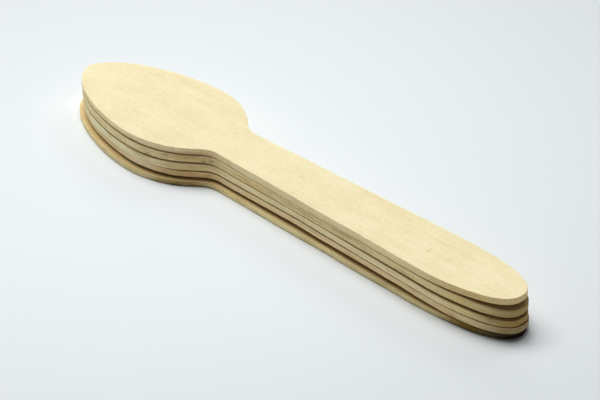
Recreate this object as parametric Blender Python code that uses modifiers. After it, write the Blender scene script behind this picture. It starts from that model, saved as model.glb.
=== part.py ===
"""A loose stack of five flat wooden spoons, each die-cut from one sheet of birch veneer.

Metres, +Z up. The origin is the middle of the bottom spoon's underside. +X runs from the tips of the
bowls to the ends of the handles. All five spoons are cut to one outline. Each is slightly warped, so
it stands a little off the spoon below at some places and lies on it at others.
"""

import math

import bmesh
import bpy
import numpy as np

# Driving sizes of the cut outline, seen from above
SPOON_LENGTH = 0.160
BOWL_WIDTH = 0.0326
BOWL_FRONT = 0.0363  # from the tip to the widest place
BOWL_BACK = 0.0214  # from the widest place to where the bowl's curve would close
BOWL_FRONT_POWER = 1.76  # 2 would be half an ellipse, less is more pointed
BOWL_BACK_POWER = 1.95
NECK_WIDTH = 0.0139  # of the handle, where the bowl's curve would close
NECK_FILLET = 0.0041  # how far apart the bowl's edge and the handle's start to run together
HANDLE_WIDTH = 0.0193  # of the handle's straight sides, carried on to the very end
HANDLE_ROUNDING = 0.0350  # length over which the handle's end is rounded off
HANDLE_POWER = 2.29  # 2 would be half an ellipse, more is blunter

# Driving sizes of the sheet and of the stack
VENEER = 0.0017
RIM_BEVEL = 0.00015
SEAT_GAP = 0.0003  # left between two spoons where one lies on the other
GRIP_FROM_END = 0.035
HEEL_FROM_END = 0.015

# How finely the outline is followed
LONGEST_STEP = 0.0075
LARGEST_TURN = math.radians(7.0)
OUTLINE_SAMPLES = 4000
MERGE_DISTANCE = 0.000001  # closes the grid's two ends, where the outline has no width

VENEER_ROUGHNESS = 0.7

# Where a spoon's stand-off from the one below is given: tip, bowl, neck, middle, grip, heel and end
NECK_PLACE = BOWL_FRONT + BOWL_BACK
GRIP_PLACE = SPOON_LENGTH - GRIP_FROM_END
HEEL_PLACE = SPOON_LENGTH - HEEL_FROM_END
PLACES = (
    0.0,
    BOWL_FRONT,
    NECK_PLACE,
    (NECK_PLACE + GRIP_PLACE) / 2,
    GRIP_PLACE,
    HEEL_PLACE,
    SPOON_LENGTH,
)

# From the top down: shift along and across the stack, turn in degrees, stand-off at PLACES beyond the
# seat's gap, and the veneer's colour, linear
SPOONS = {
    "top_spoon": {
        "shift": (-0.00070, 0.00110),
        "turn": 0.0,
        "stand_off": (0.0, 0.0003, 0.0, 0.0, 0.00015, 0.0006, 0.00105),
        "colour": (0.84, 0.71, 0.46),
    },
    "second_spoon": {
        "shift": (-0.00015, 0.00085),
        "turn": 0.0,
        "stand_off": (0.0, 0.0001, 0.0002, 0.0, 0.00025, 0.0005, 0.0007),
        "colour": (0.74, 0.59, 0.36),
    },
    "middle_spoon": {
        "shift": (0.00015, 0.00065),
        "turn": -0.1,
        "stand_off": (0.0, 0.0, 0.0001, 0.0001, 0.00015, 0.0003, 0.0001),
        "colour": (0.76, 0.65, 0.42),
    },
    "fourth_spoon": {
        "shift": (0.00020, 0.00090),
        "turn": 0.0,
        "stand_off": (0.0, 0.00045, 0.0005, 0.00095, 0.0008, 0.00005, 0.0),
        "colour": (0.72, 0.58, 0.37),
    },
    "bottom_spoon": {
        "shift": (0.0, 0.0),
        "turn": 0.5,
        "stand_off": (0.0,) * len(PLACES),
        "colour": (0.73, 0.54, 0.29),
    },
}


def clear_scene():
    for thing in list(bpy.data.objects):
        bpy.data.objects.remove(thing, do_unlink=True)


def rounded_share(way, power):
    """Share of the full width left at a share of the way to where a rounded end closes."""
    return np.clip(1.0 - np.clip(way, 0.0, 1.0) ** power, 0.0, 1.0) ** (1.0 / power)


def run_together(first, second, reach):
    """The larger of two widths, with a fillet where they are less than reach apart."""
    nearness = np.clip(reach - np.abs(first - second), 0.0, None) / reach
    return np.maximum(first, second) + nearness**2 * reach / 4.0


def half_width(along):
    """Half the spoon's width at a distance from its tip.

    The bowl is two superellipse quarters that meet at its widest place. The handle is a straight
    taper, widest at its end, rounded off by a third superellipse. The larger of the two holds, and
    a fillet joins them at the neck.
    """
    none = np.full_like(along, -1.0)
    front = rounded_share((BOWL_FRONT - along) / BOWL_FRONT, BOWL_FRONT_POWER)
    back = rounded_share((along - BOWL_FRONT) / BOWL_BACK, BOWL_BACK_POWER)
    bowl = BOWL_WIDTH / 2 * np.where(along < BOWL_FRONT, front, back)
    bowl = np.where(along < NECK_PLACE, bowl, none)

    taper = (along - NECK_PLACE) / (SPOON_LENGTH - NECK_PLACE)
    sides = (NECK_WIDTH + (HANDLE_WIDTH - NECK_WIDTH) * taper) / 2
    end = rounded_share((along - SPOON_LENGTH + HANDLE_ROUNDING) / HANDLE_ROUNDING, HANDLE_POWER)
    handle = np.where(along > BOWL_FRONT, sides * end, none)
    return run_together(bowl, handle, NECK_FILLET)


def outline_stations():
    """Distances from the tip at which the outline has a point: closer together where it turns."""
    sweep = np.linspace(0.0, math.pi, OUTLINE_SAMPLES)
    along = SPOON_LENGTH * (1.0 - np.cos(sweep)) / 2
    width = half_width(along)
    step = np.hypot(np.diff(along), np.diff(width))
    heading = np.arctan2(np.diff(width), np.diff(along))
    turn = np.concatenate([[0.0], np.abs(np.diff(heading))])
    effort = np.concatenate([[0.0], np.cumsum(step / LONGEST_STEP + turn / LARGEST_TURN)])
    count = math.ceil(effort[-1])
    return np.interp(np.linspace(0.0, effort[-1], count + 1), effort, along)


def smooth_through(along, places, values):
    """A smooth curve through the values at the places, level at its crests and feet."""
    places = np.asarray(places)
    values = np.asarray(values)
    step = np.diff(places)
    slope = np.diff(values) / step
    product = slope[:-1] * slope[1:]
    total = slope[:-1] + slope[1:]
    inner = np.where(product > 0, 2 * product / np.where(product > 0, total, 1.0), 0.0)
    tangent = np.concatenate([slope[:1], inner, slope[-1:]])

    span = np.clip(np.searchsorted(places, along, side="right") - 1, 0, len(step) - 1)
    way = np.clip((along - places[span]) / step[span], 0.0, 1.0)
    rise = way * way * (3.0 - 2.0 * way)
    leaving = way * (1.0 - way) ** 2 * step[span] * tangent[span]
    arriving = way * way * (1.0 - way) * step[span] * tangent[span + 1]
    return values[span] + rise * (values[span + 1] - values[span]) + leaving - arriving


def underside_height(name, x):
    """Height of a spoon's underside above the ground: what all the spoons below it add up to."""
    names = list(SPOONS)
    height = np.zeros_like(x)
    for upper in names[names.index(name) : -1]:
        stand_off = smooth_through(x + SPOON_LENGTH / 2, PLACES, SPOONS[upper]["stand_off"])
        height += VENEER + SEAT_GAP + stand_off
    return height


def veneer_material(name):
    material = bpy.data.materials.new(name + "_veneer")
    material.use_nodes = True
    surface = material.node_tree.nodes["Principled BSDF"]
    surface.inputs["Base Color"].default_value = (*SPOONS[name]["colour"], 1.0)
    surface.inputs["Roughness"].default_value = VENEER_ROUGHNESS
    surface.inputs["Metallic"].default_value = 0.0
    return material


def cut_blank(name, stations):
    """The spoon's underside as an open sheet: a grid drawn in to the outline and closed at its ends."""
    sheet = bmesh.new()
    bmesh.ops.create_grid(sheet, x_segments=len(stations) - 1, y_segments=2, size=1.0)
    grid = np.array([vertex.co for vertex in sheet.verts])
    order = np.rint((grid[:, 0] + 1.0) / 2.0 * (len(stations) - 1)).astype(int)
    along = stations[order]
    x = along - SPOON_LENGTH / 2
    y = grid[:, 1] * half_width(along)

    turn = math.radians(SPOONS[name]["turn"])
    shift_x = SPOONS[name]["shift"][0]
    placed_x = shift_x + x * math.cos(turn) - y * math.sin(turn)
    z = underside_height(name, placed_x)
    for vertex, place in zip(sheet.verts, np.column_stack([x, y, z])):
        vertex.co = place
    bmesh.ops.remove_doubles(sheet, verts=sheet.verts, dist=MERGE_DISTANCE)

    mesh = bpy.data.meshes.new(name)
    sheet.to_mesh(mesh)
    sheet.free()
    return mesh


def build_spoon(name, stations, collection):
    mesh = cut_blank(name, stations)
    mesh.materials.append(veneer_material(name))
    mesh.shade_smooth()
    spoon = bpy.data.objects.new(name, mesh)
    collection.objects.link(spoon)
    spoon.location = (*SPOONS[name]["shift"], 0.0)
    spoon.rotation_euler = (0.0, 0.0, math.radians(SPOONS[name]["turn"]))

    sheet = spoon.modifiers.new("veneer", "SOLIDIFY")
    sheet.thickness = VENEER
    sheet.offset = 1.0

    rim = spoon.modifiers.new("rim", "BEVEL")
    rim.width = RIM_BEVEL
    rim.segments = 1
    rim.limit_method = "ANGLE"
    rim.angle_limit = math.radians(45.0)
    rim.harden_normals = True
    return spoon


def main():
    clear_scene()
    collection = bpy.data.collections.new("wooden_spoon_stack")
    bpy.context.scene.collection.children.link(collection)
    stations = outline_stations()
    for name in SPOONS:
        build_spoon(name, stations, collection)


main()
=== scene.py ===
import math

import bmesh
import bpy
import numpy as np
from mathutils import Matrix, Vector


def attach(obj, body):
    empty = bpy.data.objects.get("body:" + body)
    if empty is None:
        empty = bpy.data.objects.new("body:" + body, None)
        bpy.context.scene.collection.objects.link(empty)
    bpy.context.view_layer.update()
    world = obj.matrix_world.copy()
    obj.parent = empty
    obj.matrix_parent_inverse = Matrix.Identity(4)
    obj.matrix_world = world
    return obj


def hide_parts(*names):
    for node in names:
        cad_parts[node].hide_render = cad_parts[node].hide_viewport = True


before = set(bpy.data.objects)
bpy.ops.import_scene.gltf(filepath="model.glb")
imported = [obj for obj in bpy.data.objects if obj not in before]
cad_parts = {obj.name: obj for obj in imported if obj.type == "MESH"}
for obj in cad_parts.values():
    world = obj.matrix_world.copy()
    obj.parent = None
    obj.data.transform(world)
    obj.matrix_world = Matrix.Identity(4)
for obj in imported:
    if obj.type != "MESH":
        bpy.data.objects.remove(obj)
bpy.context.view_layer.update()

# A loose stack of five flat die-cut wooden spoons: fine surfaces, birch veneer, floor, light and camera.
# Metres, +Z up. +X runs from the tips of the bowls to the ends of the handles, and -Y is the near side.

# The cut outline of every spoon, seen from above
SPOON_LENGTH = 0.160
BOWL_WIDTH = 0.0326
BOWL_FRONT = 0.0363  # from the tip to the widest place
BOWL_BACK = 0.0214  # from the widest place to where the bowl's curve would close
BOWL_FRONT_POWER = 1.76  # 2 would be half an ellipse, less is more pointed
BOWL_BACK_POWER = 1.95
NECK_WIDTH = 0.0139  # of the handle, where the bowl's curve would close
NECK_FILLET = 0.0041
NECK_EASE = 0.0020  # how far to both sides the neck's width is averaged
NECK_REACH = 0.0060  # how far from the neck that is done
NECK_SAMPLES = 9
HANDLE_WIDTH = 0.0193  # of the handle's straight sides, carried on to the very end
HANDLE_ROUNDING = 0.0350
HANDLE_POWER = 2.45  # more is blunter

# The sheet and the stack
VENEER = 0.0017
SEAT_GAP = 0.0003
GRIP_FROM_END = 0.035
HEEL_FROM_END = 0.015
NECK_PLACE = BOWL_FRONT + BOWL_BACK
GRIP_PLACE = SPOON_LENGTH - GRIP_FROM_END
HEEL_PLACE = SPOON_LENGTH - HEEL_FROM_END
MIDDLE_PLACE = (NECK_PLACE + GRIP_PLACE) / 2
PLACES = (0.0, BOWL_FRONT, NECK_PLACE, MIDDLE_PLACE, GRIP_PLACE, HEEL_PLACE, SPOON_LENGTH)

# How finely a spoon is made
EDGE_STEP = 0.00026
FACE_ROWS = 20
WALL_ROWS = 8
ROUND_ROWS = 3
OUTLINE_SAMPLES = 40001
MERGE_DISTANCE = 0.0000002  # closes the two end rows, which have no width

# How far the outline's middle line sways across at places along it: the die isn't quite symmetric
SWAY_PLACES = (0.0, 0.008, 0.020, 0.034, 0.048, 0.060, SPOON_LENGTH)
SWAY = (0.00028, 0.00022, -0.00002, -0.00026, -0.00012, 0.0, 0.0)

# The cut edge: rims rounded by the die, a slightly torn wall, and an outline that strays a little
RIM_INSET = 0.00016
RIM_DROP = 0.00013
TEAR_DEPTH = 0.00003
TEAR_STEPS = (0.0011, 0.0005)
STRAY = 0.00008
STRAY_STEPS = (0.012, 0.005)
QUIET_ENDS = 0.0015  # within this of the tip and the end, the edge neither strays nor tears
GRAIN_DEPTH = 0.00005
GRAIN_STRENGTH = 0.6
WOOD_ROUGHNESS = 0.75
WOOD_SPECULAR = 0.12

# Wood colours, darkest to palest. The cut edges differ from sheet to sheet.
PALE_FACE = ((0.795, 0.668, 0.388), (0.905, 0.798, 0.50), (0.965, 0.884, 0.60))
GOLD_FACE = ((0.72, 0.54, 0.24), (0.86, 0.67, 0.33), (0.92, 0.75, 0.41))
GREY_EDGE = ((0.80, 0.65, 0.37), (1.0, 0.85, 0.50), (1.0, 0.93, 0.60))
OLIVE_EDGE = ((0.58, 0.46, 0.22), (0.89, 0.75, 0.40), (0.98, 0.86, 0.51))
PALE_EDGE = ((0.68, 0.57, 0.31), (0.98, 0.85, 0.50), (1.0, 0.93, 0.62))
PINK_EDGE = ((0.68, 0.52, 0.27), (0.99, 0.80, 0.45), (1.0, 0.89, 0.56))
GOLD_EDGE = ((0.66, 0.49, 0.20), (1.0, 0.86, 0.46), (1.0, 0.94, 0.58))

# What marks multiply the wood's colour by: brown for stains and for painted shade, soot for flecks, the
# rest for painted shade and painted shadow
STAIN_AND_SHADE_BROWN = (0.72, 0.60, 0.46)
SOOT = (0.34, 0.27, 0.20)
PAINTED_SHADE_GREY = (0.49, 0.43, 0.32)
PAINTED_DEEP_SHADE = (0.37, 0.28, 0.09)
# Painted shade in the gaps: faces that lie on another spoon, and the rims next to them, are drawn towards
# this colour.
PAINTED_GAP_SHADE = (0.42, 0.30, 0.13)
RIM_FROM_MIDDLE = 0.42  # of the sheet's thickness: from here to a face, the edge takes its darkness

# From the top down. shift, turn in degrees and stand_off lay each spoon as the solid lies. At PLACES,
# lift is how far its upper face is from the solid's, open is the gap that shows under it, and shade is
# how much painted shade darkens its hidden faces and the rims next to them. wear is (place along x, half
# length, depth, rim or wall, side), and a wall's negative depth stands out. A mark is (place along x,
# half length, height on the cut edge from 0 to 1, half height, colour, amount); most marks are painted
# shade or painted light on the cut edge, and a few small ones are stains, flecks and streaks. A spot is
# (centre, half sizes, colour, amount), on any face.
SPOONS = {
    "top_spoon": {
        "shift": (-0.00070, 0.00110),
        "turn": 0.0,
        "stand_off": (0.0, 0.0003, 0.0, 0.0, 0.00015, 0.0006, 0.00105),
        "open": (0.00022, 0.00034, 0.00014, 0.00003, 0.00004, 0.00052, 0.00130),
        "lift": (0.00010, -0.00005, 0.0, 0.0, 0.0, 0.0, 0.0),
        "shade": (0.3, 0.4, 0.2, 0.2, 0.3, 0.5, 0.6),
        "face": PALE_FACE,
        "edge": GREY_EDGE,
        "wear": (
            (-0.0450, 0.0065, 0.00008, "upper", -1),
            (-0.0460, 0.0060, 0.00030, "lower", -1),
            (-0.0311, 0.0005, 0.00045, "upper", -1),
            (0.0560, 0.0110, -0.00022, "wall", -1),
            (-0.0300, 0.0050, 0.00012, "lower", -1),
        ),
        "stains_and_painted_light": (
            # These two are painted shade in the neck's corner.
            (-0.0285, 0.0050, 0.15, 0.30, STAIN_AND_SHADE_BROWN, 0.8),
            (-0.0270, 0.0080, 0.50, 1.00, STAIN_AND_SHADE_BROWN, 0.3),
            (-0.0311, 0.0008, 0.80, 0.40, (1.05, 1.13, 1.28), 1.0),
            # These two are painted shade on the cut edge towards the handle's end.
            (0.0700, 0.0150, 0.50, 2.00, (0.82, 0.74, 0.57), 1.0),
            (0.0790, 0.0045, 0.50, 2.00, (0.97, 0.93, 0.93), 1.0),
        ),
        "spots": (
            ((0.0494, -0.00015, 0.0112), (0.00055, 0.0016, 0.002), (0.72, 0.63, 0.50), 0.7),
            ((0.0500, 0.0045, 0.0112), (0.0045, 0.0010, 0.002), (0.88, 0.80, 0.70), 0.5),
            ((0.0590, 0.0045, 0.0112), (0.0040, 0.0012, 0.002), (0.88, 0.80, 0.70), 0.5),
        ),
    },
    "second_spoon": {
        "shift": (-0.00015, 0.00085),
        "turn": 0.0,
        "stand_off": (0.0, 0.0001, 0.0002, 0.0, 0.00025, 0.0005, 0.0007),
        "open": (0.00030, 0.00038, 0.00016, 0.00004, 0.00045, 0.00062, 0.00066),
        "lift": (0.00042, 0.00025, -0.00005, -0.00020, 0.00005, 0.00025, -0.00005),
        "shade": (0.3, 0.4, 0.2, 0.2, 0.5, 0.6, 0.7),
        "face": PALE_FACE,
        "edge": OLIVE_EDGE,
        "wear": (
            (-0.0270, 0.0040, 0.00012, "lower", -1),
            (0.0300, 0.0100, 0.00008, "lower", -1),
            (-0.0640, 0.0130, -0.00018, "wall", -1),
        ),
        "stains_and_painted_light": (
            # Painted shade in the neck's corner.
            (-0.0290, 0.0040, 0.75, 0.35, STAIN_AND_SHADE_BROWN, 0.7),
            (-0.0232, 0.0006, 0.45, 0.25, SOOT, 0.6),
            (-0.0335, 0.0007, 0.80, 0.20, SOOT, 0.6),
            (-0.0387, 0.0006, 0.10, 0.25, SOOT, 0.6),
            (-0.0250, 0.0007, 0.15, 0.30, SOOT, 0.5),
            # Painted shade in the neck's corner.
            (-0.0280, 0.0080, 0.50, 1.20, STAIN_AND_SHADE_BROWN, 0.4),
            (-0.0080, 0.0055, 0.45, 0.20, (0.93, 0.80, 0.55), 0.8),
            (-0.0120, 0.0050, 0.66, 0.09, (0.60, 0.48, 0.28), 0.8),
            (0.0080, 0.0095, 0.72, 0.08, (0.74, 0.62, 0.40), 0.8),
            (0.0265, 0.0045, 0.80, 0.08, (0.70, 0.58, 0.38), 0.8),
            # Painted light on the cut edge towards the bowl's tip.
            (-0.0560, 0.0160, 0.50, 2.00, (1.10, 1.11, 1.17), 1.0),
            # These two are painted shade on the cut edge towards the handle's end.
            (0.0660, 0.0060, 0.50, 2.00, (0.97, 0.92, 0.80), 1.0),
            (0.0800, 0.0070, 0.50, 2.00, PAINTED_SHADE_GREY, 1.0),
        ),
        "spots": (),
    },
    "middle_spoon": {
        "shift": (0.00015, 0.00065),
        "turn": -0.1,
        "stand_off": (0.0, 0.0, 0.0001, 0.0001, 0.00015, 0.0003, 0.0001),
        "open": (0.00010, 0.00012, 0.00036, 0.00040, 0.00042, 0.00040, 0.00034),
        "lift": (-0.00020, 0.0, 0.00005, 0.0, -0.00015, 0.0, -0.00010),
        "shade": (0.3, 0.4, 0.6, 0.6, 0.6, 0.7, 0.8),
        "face": PALE_FACE,
        "edge": PALE_EDGE,
        "wear": (
            (-0.0640, 0.0130, -0.00018, "wall", -1),
            (-0.0400, 0.0100, -0.00008, "wall", -1),
        ),
        "stains_and_painted_light": (
            # Painted shade in the neck's corner.
            (-0.0280, 0.0080, 0.50, 1.20, STAIN_AND_SHADE_BROWN, 0.7),
            # Painted light on the cut edge towards the bowl's tip.
            (-0.0560, 0.0160, 0.50, 2.00, (1.02, 1.10, 1.20), 1.0),
            # These two are painted shade on the cut edge towards the handle's end.
            (0.0660, 0.0060, 0.50, 2.00, (0.93, 0.88, 0.71), 1.0),
            (0.0800, 0.0075, 0.50, 2.00, (0.42, 0.33, 0.18), 1.0),
            (0.0750, 0.0018, 0.80, 0.30, SOOT, 0.5),
            (-0.0540, 0.0009, 0.85, 0.30, (0.80, 0.62, 0.30), 0.8),
        ),
        "spots": (),
    },
    "fourth_spoon": {
        "shift": (0.00020, 0.00090),
        "turn": 0.0,
        "stand_off": (0.0, 0.00045, 0.0005, 0.00095, 0.0008, 0.00005, 0.0),
        "open": (0.00038, 0.00074, 0.00075, 0.00110, 0.00100, 0.00020, 0.00012),
        "lift": (0.0, -0.00030, -0.00020, 0.0, -0.00015, 0.00015, -0.00020),
        "shade": (0.3, 0.5, 0.9, 1.0, 1.0, 1.0, 1.0),
        "face": PALE_FACE,
        "edge": PINK_EDGE,
        "wear": (),
        "stains_and_painted_light": (
            # Painted shade in the neck's corner.
            (-0.0280, 0.0080, 0.50, 1.20, STAIN_AND_SHADE_BROWN, 0.8),
            # Painted light on the cut edge of the bowl.
            (-0.0410, 0.0060, 0.50, 2.00, (1.0, 1.06, 1.26), 1.0),
            # Painted shade on the cut edge towards the handle's end.
            (0.0540, 0.0060, 0.50, 2.00, (0.94, 0.92, 0.86), 1.0),
            (0.0640, 0.0020, 0.25, 0.35, STAIN_AND_SHADE_BROWN, 0.8),
            # Painted shade on the cut edge at the handle's end.
            (0.0800, 0.0078, 0.50, 2.00, (0.42, 0.39, 0.35), 1.0),
        ),
        "spots": (),
    },
    "bottom_spoon": {
        "shift": (0.0, 0.0),
        "turn": 0.5,
        "stand_off": (0.0,) * len(PLACES),
        "open": (0.0,) * len(PLACES),
        "lift": (-0.00050, -0.00015, -0.00025, 0.0, 0.0, -0.00005, -0.00025),
        "shade": (0.1, 0.25, 0.1, 0.1, 0.15, 0.7, 1.1),
        "face": GOLD_FACE,
        "edge": GOLD_EDGE,
        "wear": (
            (-0.0440, 0.0220, -0.00015, "wall", -1),
            (-0.0280, 0.0060, -0.00030, "wall", -1),
            (0.0790, 0.0060, 0.00015, "wall", 1),
            (0.0790, 0.0060, 0.00015, "wall", -1),
            (0.0620, 0.0080, 0.00020, "wall", -1),
            (0.0, 0.0900, 0.00012, "lower", -1),
            (-0.0290, 0.0060, 0.00040, "lower", -1),
            (0.0790, 0.0180, 0.00030, "lower", -1),
        ),
        "stains_and_painted_light": (
            # Painted shade along the bowl's cut edge.
            (-0.0500, 0.0200, 0.50, 2.00, (0.84, 0.85, 0.86), 1.0),
            # Painted shade in the neck's corner.
            (-0.0288, 0.0066, 0.40, 1.20, (0.42, 0.35, 0.24), 1.0),
            (-0.0340, 0.0015, 0.45, 0.35, STAIN_AND_SHADE_BROWN, 0.8),
            # This and the next two: painted shade on the cut edge along the handle, deepening to a
            # painted shadow at its end.
            (0.0420, 0.0160, 0.50, 2.00, (0.80, 0.80, 0.78), 0.8),
            (0.0690, 0.0080, 0.50, 2.00, PAINTED_DEEP_SHADE, 1.0),
            (0.0800, 0.0115, 0.50, 2.00, (0.02, 0.005, 0.0), 1.0),
            # Painted contact shadow: a darker line along the lower rim, the whole length.
            (0.0, 0.0900, 0.0, 0.16, (0.55, 0.47, 0.36), 0.8),
        ),
        "spots": (),
    },
}

# The floor, the light and the camera
FLOOR_SIZE = 6.0
FLOOR_DROP = 0.00002  # keeps it clear of the undersides
FLOOR_ROUGHNESS = 0.6
FLOOR_SPECULAR = 0.1
FLOOR_SEEN = (0.848, 0.893, 0.917)
FLOOR_BOUNCE = (0.94, 0.935, 0.925, 1.0)
# A painted pool of light on the floor's seen colour: brightest at this place, falling off with the square
# of the distance, down to a least share.
FLOOR_PAINTED_LIGHT_CENTRE = (-0.026, -0.024, 0.0)
FLOOR_PAINTED_FALLOFF = 24.0  # for each square metre
FLOOR_PAINTED_LEAST = 0.6
ROOM_COLOUR = (0.96, 0.98, 1.0, 1.0)
ROOM_STRENGTH = 0.068
LAMP_DISTANCE = 1.6
LAMP_SIZE = 0.6
LAMPS = {  # azimuth and elevation in degrees, and power in watts
    "overhead": (-104.3, 78.0, 10.0),
    "high_behind": (225.7, 66.0, 4.4),
    "left": (-74.3, 54.0, 4.9),
    "left_behind": (-102.3, 60.0, 5.0),
    "right_behind": (190.7, 37.0, 3.2),
    "low_behind": (225.7, 22.0, 2.4),
}
LENS = 180.0
SENSOR = 36.0
NEAREST = 0.01
AIM = (0.01015, -0.00656, 0.0108)
DISTANCE = 0.76323
AZIMUTH = math.radians(45.69)
ELEVATION = math.radians(32.485)


def rounded_share(way, power):
    """Share of the full width left at a share of the way to where a rounded end closes."""
    return np.clip(1.0 - np.clip(way, 0.0, 1.0) ** power, 0.0, 1.0) ** (1.0 / power)


def cut_width(along):
    """Half a spoon's width at a distance from its tip, before the neck's corner is eased.

    Two superellipse quarters make the bowl, a straight taper closed by a third makes the handle. The
    larger of bowl and handle holds, plus a fillet of nearness squared times a quarter of its reach.
    """
    front = rounded_share((BOWL_FRONT - along) / BOWL_FRONT, BOWL_FRONT_POWER)
    back = rounded_share((along - BOWL_FRONT) / BOWL_BACK, BOWL_BACK_POWER)
    bowl = BOWL_WIDTH / 2 * np.where(along < BOWL_FRONT, front, back)
    bowl = np.where(along < NECK_PLACE, bowl, -1.0)

    taper = (along - NECK_PLACE) / (SPOON_LENGTH - NECK_PLACE)
    sides = (NECK_WIDTH + (HANDLE_WIDTH - NECK_WIDTH) * taper) / 2
    end = rounded_share((along - SPOON_LENGTH + HANDLE_ROUNDING) / HANDLE_ROUNDING, HANDLE_POWER)
    handle = np.where(along > BOWL_FRONT, sides * end, -1.0)

    nearness = np.clip(NECK_FILLET - np.abs(bowl - handle), 0.0, None) / NECK_FILLET
    return np.maximum(bowl, handle) + nearness**2 * NECK_FILLET / 4


def half_width(along):
    """Half a spoon's width, with the neck's corner a little rounder than the solid's.

    Near the neck it is drawn towards the mean width within the ease to both sides, by a Gaussian
    share of the distance from the neck.
    """
    steps = NECK_EASE * np.linspace(-1.0, 1.0, NECK_SAMPLES)
    mean = sum(cut_width(along + step) for step in steps) / NECK_SAMPLES
    share = bump_at(along, NECK_PLACE, NECK_REACH)
    return cut_width(along) * (1.0 - share) + mean * share


def side_outline():
    """One side of the outline from tip to end, in even steps of its own length.

    Returns the place along the spoon, the half width there, the outward normal as (along, across)
    and the distance walked from the tip.
    """
    sweep = np.linspace(0.0, math.pi, OUTLINE_SAMPLES)
    along = SPOON_LENGTH * (1.0 - np.cos(sweep)) / 2
    width = half_width(along)
    walked = np.concatenate([[0.0], np.cumsum(np.hypot(np.diff(along), np.diff(width)))])
    count = math.ceil(walked[-1] / EDGE_STEP)
    even = np.linspace(0.0, walked[-1], count + 1)
    along_even = np.interp(even, walked, along)
    width_even = np.interp(even, walked, width)
    width_even[[0, -1]] = 0.0

    run = np.gradient(along_even)
    rise = np.gradient(width_even)
    run[[0, -1]] = 0.0
    length = np.hypot(run, rise)
    return along_even, width_even, -rise / length, run / length, even


def smooth_through(along, places, values):
    """A smooth curve through the values at the places, level at its crests and feet."""
    places = np.asarray(places)
    values = np.asarray(values)
    step = np.diff(places)
    slope = np.diff(values) / step
    product = slope[:-1] * slope[1:]
    total = slope[:-1] + slope[1:]
    inner = np.where(product > 0, 2 * product / np.where(product > 0, total, 1.0), 0.0)
    tangent = np.concatenate([slope[:1], inner, slope[-1:]])

    span = np.clip(np.searchsorted(places, along, side="right") - 1, 0, len(step) - 1)
    way = np.clip((along - places[span]) / step[span], 0.0, 1.0)
    rise = way * way * (3.0 - 2.0 * way)
    leaving = way * (1.0 - way) ** 2 * step[span] * tangent[span]
    arriving = way * way * (1.0 - way) * step[span] * tangent[span + 1]
    return values[span] + rise * (values[span + 1] - values[span]) + leaving - arriving


def underside_height(name, x):
    """Height of the solid spoon's underside: what all the spoons below it add up to."""
    names = list(SPOONS)
    height = np.zeros_like(x)
    for upper in names[names.index(name) : -1]:
        stand_off = smooth_through(x + SPOON_LENGTH / 2, PLACES, SPOONS[upper]["stand_off"])
        height = height + VENEER + SEAT_GAP + stand_off
    return height


def sheet_heights(name, x):
    """Heights of a spoon's two faces: the upper one is the solid's plus the lift, the lower one is the
    upper face of the spoon below plus the gap that shows.
    """
    names = list(SPOONS)
    along = x + SPOON_LENGTH / 2

    def upper(spoon):
        lift = smooth_through(along, PLACES, SPOONS[spoon]["lift"])
        return underside_height(spoon, x) + VENEER + lift

    if name == names[-1]:
        return np.zeros_like(x), upper(name)
    shown = smooth_through(along, PLACES, SPOONS[name]["open"])
    return upper(names[names.index(name) + 1]) + shown, upper(name)


def ripple(walked, step, seed):
    """Smooth random values between -1 and 1: one in each step of the way, eased from each to the next."""
    count = math.ceil(walked[-1] / step) + 2
    values = np.random.default_rng(seed).uniform(-1.0, 1.0, count)
    place = walked / step
    before = np.floor(place).astype(int)
    way = place - before
    ease = way * way * (3.0 - 2.0 * way)
    return values[before] * (1.0 - ease) + values[before + 1] * ease


def bump_at(along, place, half_length):
    """A smooth hump of height 1 at a place: a Gaussian that falls to a third at its half length."""
    return np.exp(-(((along - place) / half_length) ** 2))


def cut_edge(name, side, along, walked):
    """One cut edge of a spoon as rows of (inset, rise, share), each an array along the outline.

    Share is 0 on the lower face and 1 on the upper. The rims are quarter ellipses of the rounding,
    larger where they are worn. The wall between strays slowly along the outline and is torn finely.
    """
    seed = list(SPOONS).index(name) * 10 + (1 if side > 0 else 0)
    quiet = np.clip(np.minimum(walked, walked[-1] - walked) / QUIET_ENDS, 0.0, 1.0)
    wear = {"upper": np.zeros_like(along), "lower": np.zeros_like(along), "wall": np.zeros_like(along)}
    for place, half_length, depth, rim, worn_side in SPOONS[name]["wear"]:
        if worn_side == side:
            wear[rim] = wear[rim] + depth * bump_at(along - SPOON_LENGTH / 2, place, half_length)

    slow = ripple(walked, STRAY_STEPS[0], seed + 100)
    quicker = ripple(walked, STRAY_STEPS[1], seed + 200)
    stray = (STRAY * (slow + 0.5 * quicker) + wear["wall"]) * quiet
    quarter = np.linspace(0.0, math.pi / 2, ROUND_ROWS + 1)
    rows = []
    for angle in quarter:
        inset = (RIM_INSET + wear["lower"]) * (1.0 - math.sin(angle))
        rise = (RIM_DROP + wear["lower"]) * (1.0 - math.cos(angle))
        rows.append((inset, rise, 0.0))
    for share in np.linspace(0.0, 1.0, WALL_ROWS + 1)[1:-1]:
        rows.append((np.zeros_like(along), np.zeros_like(along), share))
    for angle in quarter[::-1]:
        inset = (RIM_INSET + wear["upper"]) * (1.0 - math.sin(angle))
        rise = -(RIM_DROP + wear["upper"]) * (1.0 - math.cos(angle))
        rows.append((inset, rise, 1.0))

    torn = []
    for k, (inset, rise, share) in enumerate(rows):
        coarse = ripple(walked, TEAR_STEPS[0], seed + 300 + k // 4)
        fine = ripple(walked, TEAR_STEPS[1], seed + 400 + k)
        tear = TEAR_DEPTH * (coarse + 0.6 * fine) * quiet
        torn.append((inset + stray + tear, rise, share))
    return torn


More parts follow.
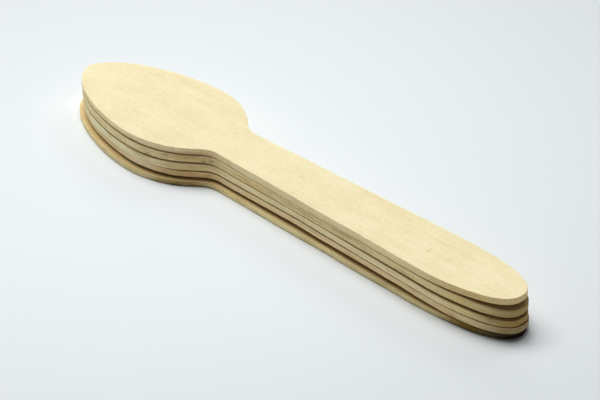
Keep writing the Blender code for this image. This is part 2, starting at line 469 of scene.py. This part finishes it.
def spoon_points(name):
    """The points of a closed spoon: its section's loop carried from tip to end.

    The loop runs up the near cut edge, over the top face, down the far cut edge and back under. On
    the cut edges a point is the outline moved inwards along its normal by the row's inset. On the
    faces it goes straight across between the two rims. Returns the points, how much each is on a
    cut edge, and its height share.
    """
    along, width, normal_x, normal_y, walked = side_outline()
    near = cut_edge(name, -1, along, walked)
    far = cut_edge(name, 1, along, walked)
    sway = smooth_through(along, SWAY_PLACES, SWAY)

    def rim(side, row):
        inset, rise, share = row
        x = along - SPOON_LENGTH / 2 - normal_x * inset
        y = side * (width - normal_y * inset) + sway
        return x, y, rise, np.full_like(x, share)

    def across(near_rim, far_rim, way):
        x = near_rim[0] * (1.0 - way) + far_rim[0] * way
        y = near_rim[1] * (1.0 - way) + far_rim[1] * way
        return x, y, np.zeros_like(x), near_rim[3]

    near_rims = [rim(-1, row) for row in near]
    far_rims = [rim(1, row) for row in far]
    over = np.linspace(0.0, 1.0, FACE_ROWS + 1)[1:-1]
    under = np.linspace(1.0, 0.0, FACE_ROWS // 2 + 1)[1:-1]
    loops = list(near_rims)
    loops += [across(near_rims[-1], far_rims[-1], way) for way in over]
    loops += far_rims[::-1]
    loops += [across(near_rims[0], far_rims[0], way) for way in under]
    x, y, rise, share = (np.stack(part, axis=1) for part in zip(*loops))

    rows = len(near)
    on_rows = np.ones(rows)
    on_rows[[0, -1]] = 0.0
    on_wall = np.concatenate([on_rows, np.zeros(len(over)), on_rows, np.zeros(len(under))])

    turn = math.radians(SPOONS[name]["turn"])
    shift = SPOONS[name]["shift"]
    placed_x = shift[0] + x * math.cos(turn) - y * math.sin(turn)
    placed_y = shift[1] + x * math.sin(turn) + y * math.cos(turn)
    lower, upper = sheet_heights(name, placed_x)
    between = lower + RIM_DROP + (upper - lower - 2 * RIM_DROP) * share
    z = np.where(share == 0.0, lower + rise, np.where(share == 1.0, upper + rise, between))
    points = np.stack([placed_x, placed_y, z], axis=-1)
    return points, np.broadcast_to(on_wall, x.shape), (z - lower) / (upper - lower)


def stain_and_painted_light_colours(name, points, on_wall, height):
    """What each point's wood colour is multiplied by: white, drawn towards each mark's colour near it.

    A mark's strength falls off as a Gaussian, along the spoon and, on a cut edge, up its height. Most
    marks are painted shade or painted light, and a few are stains. Faces that lie on another spoon, and
    the rounded rims next to them, get painted shade in the gaps, as dark as the spoon's shade says.
    """
    # Painted shade in the gaps between the sheets, on the hidden faces and the rims next to them.
    shade = smooth_through(points[..., 0] + SPOON_LENGTH / 2, PLACES, SPOONS[name]["shade"])
    from_middle = np.abs(height - 0.5) - RIM_FROM_MIDDLE
    nearness = np.clip(from_middle / (0.5 - RIM_FROM_MIDDLE), 0.0, 1.0)
    gap_shade_share = shade * nearness * ((height < 0.5) | (name != list(SPOONS)[0]))
    colours = 1.0 - gap_shade_share[..., None] * (1.0 - np.array(PAINTED_GAP_SHADE))
    for place, half_length, level, half_level, colour, amount in SPOONS[name]["stains_and_painted_light"]:
        strength = amount * bump_at(points[..., 0], place, half_length) * on_wall
        strength = strength * bump_at(height, level, half_level)
        colours = colours * (1.0 - strength[..., None] * (1.0 - np.array(colour)))
    return colours


def closed_mesh(name, points, on_wall, colours):
    """Joins a grid whose rows close on themselves, and merges each end row onto itself."""
    stations, around = points.shape[:2]
    i, j = np.meshgrid(np.arange(stations - 1), np.arange(around), indexing="ij")
    beside = (j + 1) % around
    corners = [i * around + j, (i + 1) * around + j, (i + 1) * around + beside, i * around + beside]
    faces = np.stack(corners, axis=-1).reshape(-1, 4)

    mesh = bpy.data.meshes.new(name)
    mesh.from_pydata(points.reshape(-1, 3).tolist(), [], faces.tolist())
    cut = mesh.attributes.new("cut", "FLOAT", "POINT")
    cut.data.foreach_set("value", np.ascontiguousarray(on_wall, dtype=np.float32).ravel())
    # This attribute carries the stains and the painted shade and light.
    stain_and_painted_light = mesh.attributes.new("stain_and_painted_light", "FLOAT_COLOR", "POINT")
    rgba = np.concatenate([colours, np.ones((*colours.shape[:2], 1))], axis=-1)
    stain_and_painted_light.data.foreach_set("color", rgba.astype(np.float32).ravel())

    work = bmesh.new()
    work.from_mesh(mesh)
    bmesh.ops.remove_doubles(work, verts=work.verts, dist=MERGE_DISTANCE)
    bmesh.ops.recalc_face_normals(work, faces=work.faces)
    work.to_mesh(mesh)
    work.free()
    mesh.shade_smooth()
    return mesh


def make(tree, kind, inputs=None, **properties):
    """Adds a shader node. An input's value may be a number, a colour or another node's socket."""
    node = tree.nodes.new(kind)
    for key, value in properties.items():
        setattr(node, key, value)
    for key, value in (inputs or {}).items():
        if isinstance(value, bpy.types.NodeSocket):
            tree.links.new(value, node.inputs[key])
        else:
            node.inputs[key].default_value = value
    return node


def fibre(tree, place, stretch, offset, detail=2.0, roughness=0.5):
    """Noise drawn out along the grain: stretch is how many cells fit in a metre along x, y and z."""
    mapping = make(tree, "ShaderNodeMapping", {"Vector": place, "Location": offset, "Scale": stretch})
    noise = make(
        tree,
        "ShaderNodeTexNoise",
        {"Vector": mapping.outputs["Vector"], "Scale": 1.0, "Detail": detail, "Roughness": roughness},
    )
    return noise.outputs["Fac"]


def math_node(tree, operation, *values, clamp=False):
    """A Math node's output, for the values given in order."""
    node = make(tree, "ShaderNodeMath", dict(enumerate(values)), operation=operation, use_clamp=clamp)
    return node.outputs[0]


def weighted(tree, start, *terms):
    """start plus each term's weight times how far its noise is from a half."""
    total = start
    for noise, weight in terms:
        away = math_node(tree, "SUBTRACT", noise, 0.5)
        total = math_node(tree, "MULTIPLY_ADD", away, weight, total)
    return total


def ramp(tree, value, colours):
    """A colour ramp through evenly spaced colours."""
    node = make(tree, "ShaderNodeValToRGB", {"Fac": value})
    elements = node.color_ramp.elements
    while len(elements) < len(colours):
        elements.new(0.5)
    for k, colour in enumerate(colours):
        elements[k].position = k / (len(colours) - 1)
        elements[k].color = (*colour, 1.0)
    return node.outputs["Color"]


def mix_colours(tree, kind, share, first, second):
    """The first colour, mixed or multiplied with the second by a share."""
    node = make(tree, "ShaderNodeMix", {0: share, 6: first, 7: second}, data_type="RGBA", blend_type=kind)
    return node.outputs[2]


def veneer(name):
    """Birch veneer: pale faces with short flecks and clouds, browner cut edges with layered fibres."""
    look = SPOONS[name]
    offset = (0.37 * list(SPOONS).index(name), 0.11, 0.0)
    material = bpy.data.materials.new(name + "_birch")
    material.use_nodes = True
    tree = material.node_tree
    surface = tree.nodes["Principled BSDF"]
    place = make(tree, "ShaderNodeTexCoord").outputs["Object"]
    cut = make(tree, "ShaderNodeAttribute", attribute_name="cut").outputs["Fac"]
    stain_and_painted_light = make(tree, "ShaderNodeAttribute", attribute_name="stain_and_painted_light").outputs["Color"]

    clouds = fibre(tree, place, (70, 170, 170), offset, 2.0)
    flecks = fibre(tree, place, (650, 2000, 2000), offset, 3.0, 0.65)
    long_grain = fibre(tree, place, (45, 1100, 1100), offset, 3.0, 0.55)
    face_tone = weighted(tree, 0.5, (clouds, 0.8), (flecks, 1.1), (long_grain, 0.5))
    face = ramp(tree, face_tone, look["face"])

    layers = fibre(tree, place, (45, 800, 3800), offset, 3.0, 0.65)
    scratches = fibre(tree, place, (2600, 2600, 220), offset, 2.0)
    patches = fibre(tree, place, (150, 150, 300), offset, 2.0)
    edge_tone = weighted(tree, 0.5, (layers, 1.9), (scratches, 0.6), (patches, 0.9))
    edge = ramp(tree, edge_tone, look["edge"])

    wood = mix_colours(tree, "MIX", cut, face, edge)
    for centre, half_sizes, colour, amount in look["spots"]:
        inputs = {"Vector": place, "Location": centre, "Scale": half_sizes}
        mapping = make(tree, "ShaderNodeMapping", inputs, vector_type="TEXTURE")
        inputs = {"Vector": mapping.outputs["Vector"]}
        blob = make(tree, "ShaderNodeTexGradient", inputs, gradient_type="SPHERICAL")
        share = math_node(tree, "MULTIPLY", blob.outputs["Fac"], amount, clamp=True)
        wood = mix_colours(tree, "MULTIPLY", share, wood, (*colour, 1.0))
    # The wood is multiplied by the marks: stains, painted shade and painted light.
    tree.links.new(mix_colours(tree, "MULTIPLY", 1.0, wood, stain_and_painted_light), surface.inputs["Base Color"])

    relief = weighted(tree, 0.5, (flecks, 0.6), (long_grain, 0.6))
    torn = weighted(tree, 0.5, (layers, 1.0), (scratches, 0.8))
    height = make(tree, "ShaderNodeMix", {0: cut, 2: relief, 3: torn}, data_type="FLOAT").outputs[0]
    inputs = {"Height": height, "Strength": GRAIN_STRENGTH, "Distance": GRAIN_DEPTH}
    bump = make(tree, "ShaderNodeBump", inputs)
    tree.links.new(bump.outputs["Normal"], surface.inputs["Normal"])
    surface.inputs["Roughness"].default_value = WOOD_ROUGHNESS
    surface.inputs["Specular IOR Level"].default_value = WOOD_SPECULAR
    return material


def build_spoon(name):
    """One spoon's fine surface, in the place of the solid of that name."""
    points, on_wall, height = spoon_points(name)
    colours = stain_and_painted_light_colours(name, points, on_wall, height)
    mesh = closed_mesh(name + "_wood", points, on_wall, colours)
    mesh.materials.append(veneer(name))
    spoon = bpy.data.objects.new(name + "_wood", mesh)
    bpy.context.scene.collection.objects.link(spoon)
    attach(spoon, "root")
    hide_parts(name)


def build_floor():
    """A pale floor. The colour that the camera sees carries a painted pool of light: brightest at one
    place and fading round it, as a Gaussian of the distance, down to a least share. The light that it
    gives back to the wood is that of an even, paler colour.
    """
    bpy.ops.mesh.primitive_plane_add(size=FLOOR_SIZE, location=(0.0, 0.0, -FLOOR_DROP))
    floor = bpy.context.active_object
    floor.name = "floor"
    material = bpy.data.materials.new("pale_floor")
    material.use_nodes = True
    tree = material.node_tree
    surface = tree.nodes["Principled BSDF"]
    path = make(tree, "ShaderNodeLightPath")
    seen = math_node(tree, "MAXIMUM", path.outputs["Is Camera Ray"], path.outputs["Is Glossy Ray"])
    place = make(tree, "ShaderNodeTexCoord").outputs["Object"]
    # A painted pool of light on the colour that the camera sees.
    away = make(tree, "ShaderNodeVectorMath", {0: place, 1: FLOOR_PAINTED_LIGHT_CENTRE}, operation="DISTANCE")
    square = math_node(tree, "POWER", away.outputs["Value"], 2.0)
    fall = math_node(tree, "EXPONENT", math_node(tree, "MULTIPLY", square, -FLOOR_PAINTED_FALLOFF))
    share = math_node(tree, "MULTIPLY_ADD", fall, 1.0 - FLOOR_PAINTED_LEAST, FLOOR_PAINTED_LEAST)
    painted_light_colour = make(tree, "ShaderNodeVectorMath", {0: FLOOR_SEEN, "Scale": share}, operation="SCALE")
    colour = mix_colours(tree, "MIX", seen, FLOOR_BOUNCE, painted_light_colour.outputs["Vector"])
    tree.links.new(colour, surface.inputs["Base Color"])
    surface.inputs["Roughness"].default_value = FLOOR_ROUGHNESS
    surface.inputs["Specular IOR Level"].default_value = FLOOR_SPECULAR
    floor.data.materials.append(material)


def softbox(name, azimuth, elevation, power):
    """A square lamp that faces the origin, at azimuth degrees round from the near side towards +X."""
    lamp = bpy.data.lights.new(name, "AREA")
    lamp.shape = "SQUARE"
    lamp.size = LAMP_SIZE
    lamp.energy = power
    thing = bpy.data.objects.new(name, lamp)
    bpy.context.scene.collection.objects.link(thing)
    round_z = math.radians(azimuth)
    up = math.radians(elevation)
    thing.location = (
        LAMP_DISTANCE * math.cos(up) * math.sin(round_z),
        -LAMP_DISTANCE * math.cos(up) * math.cos(round_z),
        LAMP_DISTANCE * math.sin(up),
    )
    thing.rotation_euler = Vector(thing.location).to_track_quat("Z", "Y").to_euler()


def light_scene():
    """Six soft lamps, each behind the stack or to the bowls' side of it, and a faint even room."""
    world = bpy.data.worlds.new("room")
    world.use_nodes = True
    sky = world.node_tree.nodes["Background"]
    sky.inputs["Color"].default_value = ROOM_COLOUR
    sky.inputs["Strength"].default_value = ROOM_STRENGTH
    bpy.context.scene.world = world
    for name, (azimuth, elevation, power) in LAMPS.items():
        softbox(name, azimuth, elevation, power)


def place_camera():
    """A long lens from the near side and the handles' end, looking down on the stack."""
    data = bpy.data.cameras.new("camera")
    data.lens = LENS
    data.sensor_width = SENSOR
    data.clip_start = NEAREST
    camera = bpy.data.objects.new("camera", data)
    bpy.context.scene.collection.objects.link(camera)
    camera.location = (
        AIM[0] + DISTANCE * math.cos(ELEVATION) * math.sin(AZIMUTH),
        AIM[1] - DISTANCE * math.cos(ELEVATION) * math.cos(AZIMUTH),
        AIM[2] + DISTANCE * math.sin(ELEVATION),
    )
    camera.rotation_euler = (math.pi / 2 - ELEVATION, 0.0, AZIMUTH)
    bpy.context.scene.camera = camera


bpy.context.scene.view_settings.view_transform = "Standard"
for spoon_name in SPOONS:
    build_spoon(spoon_name)
build_floor()
light_scene()
place_camera()
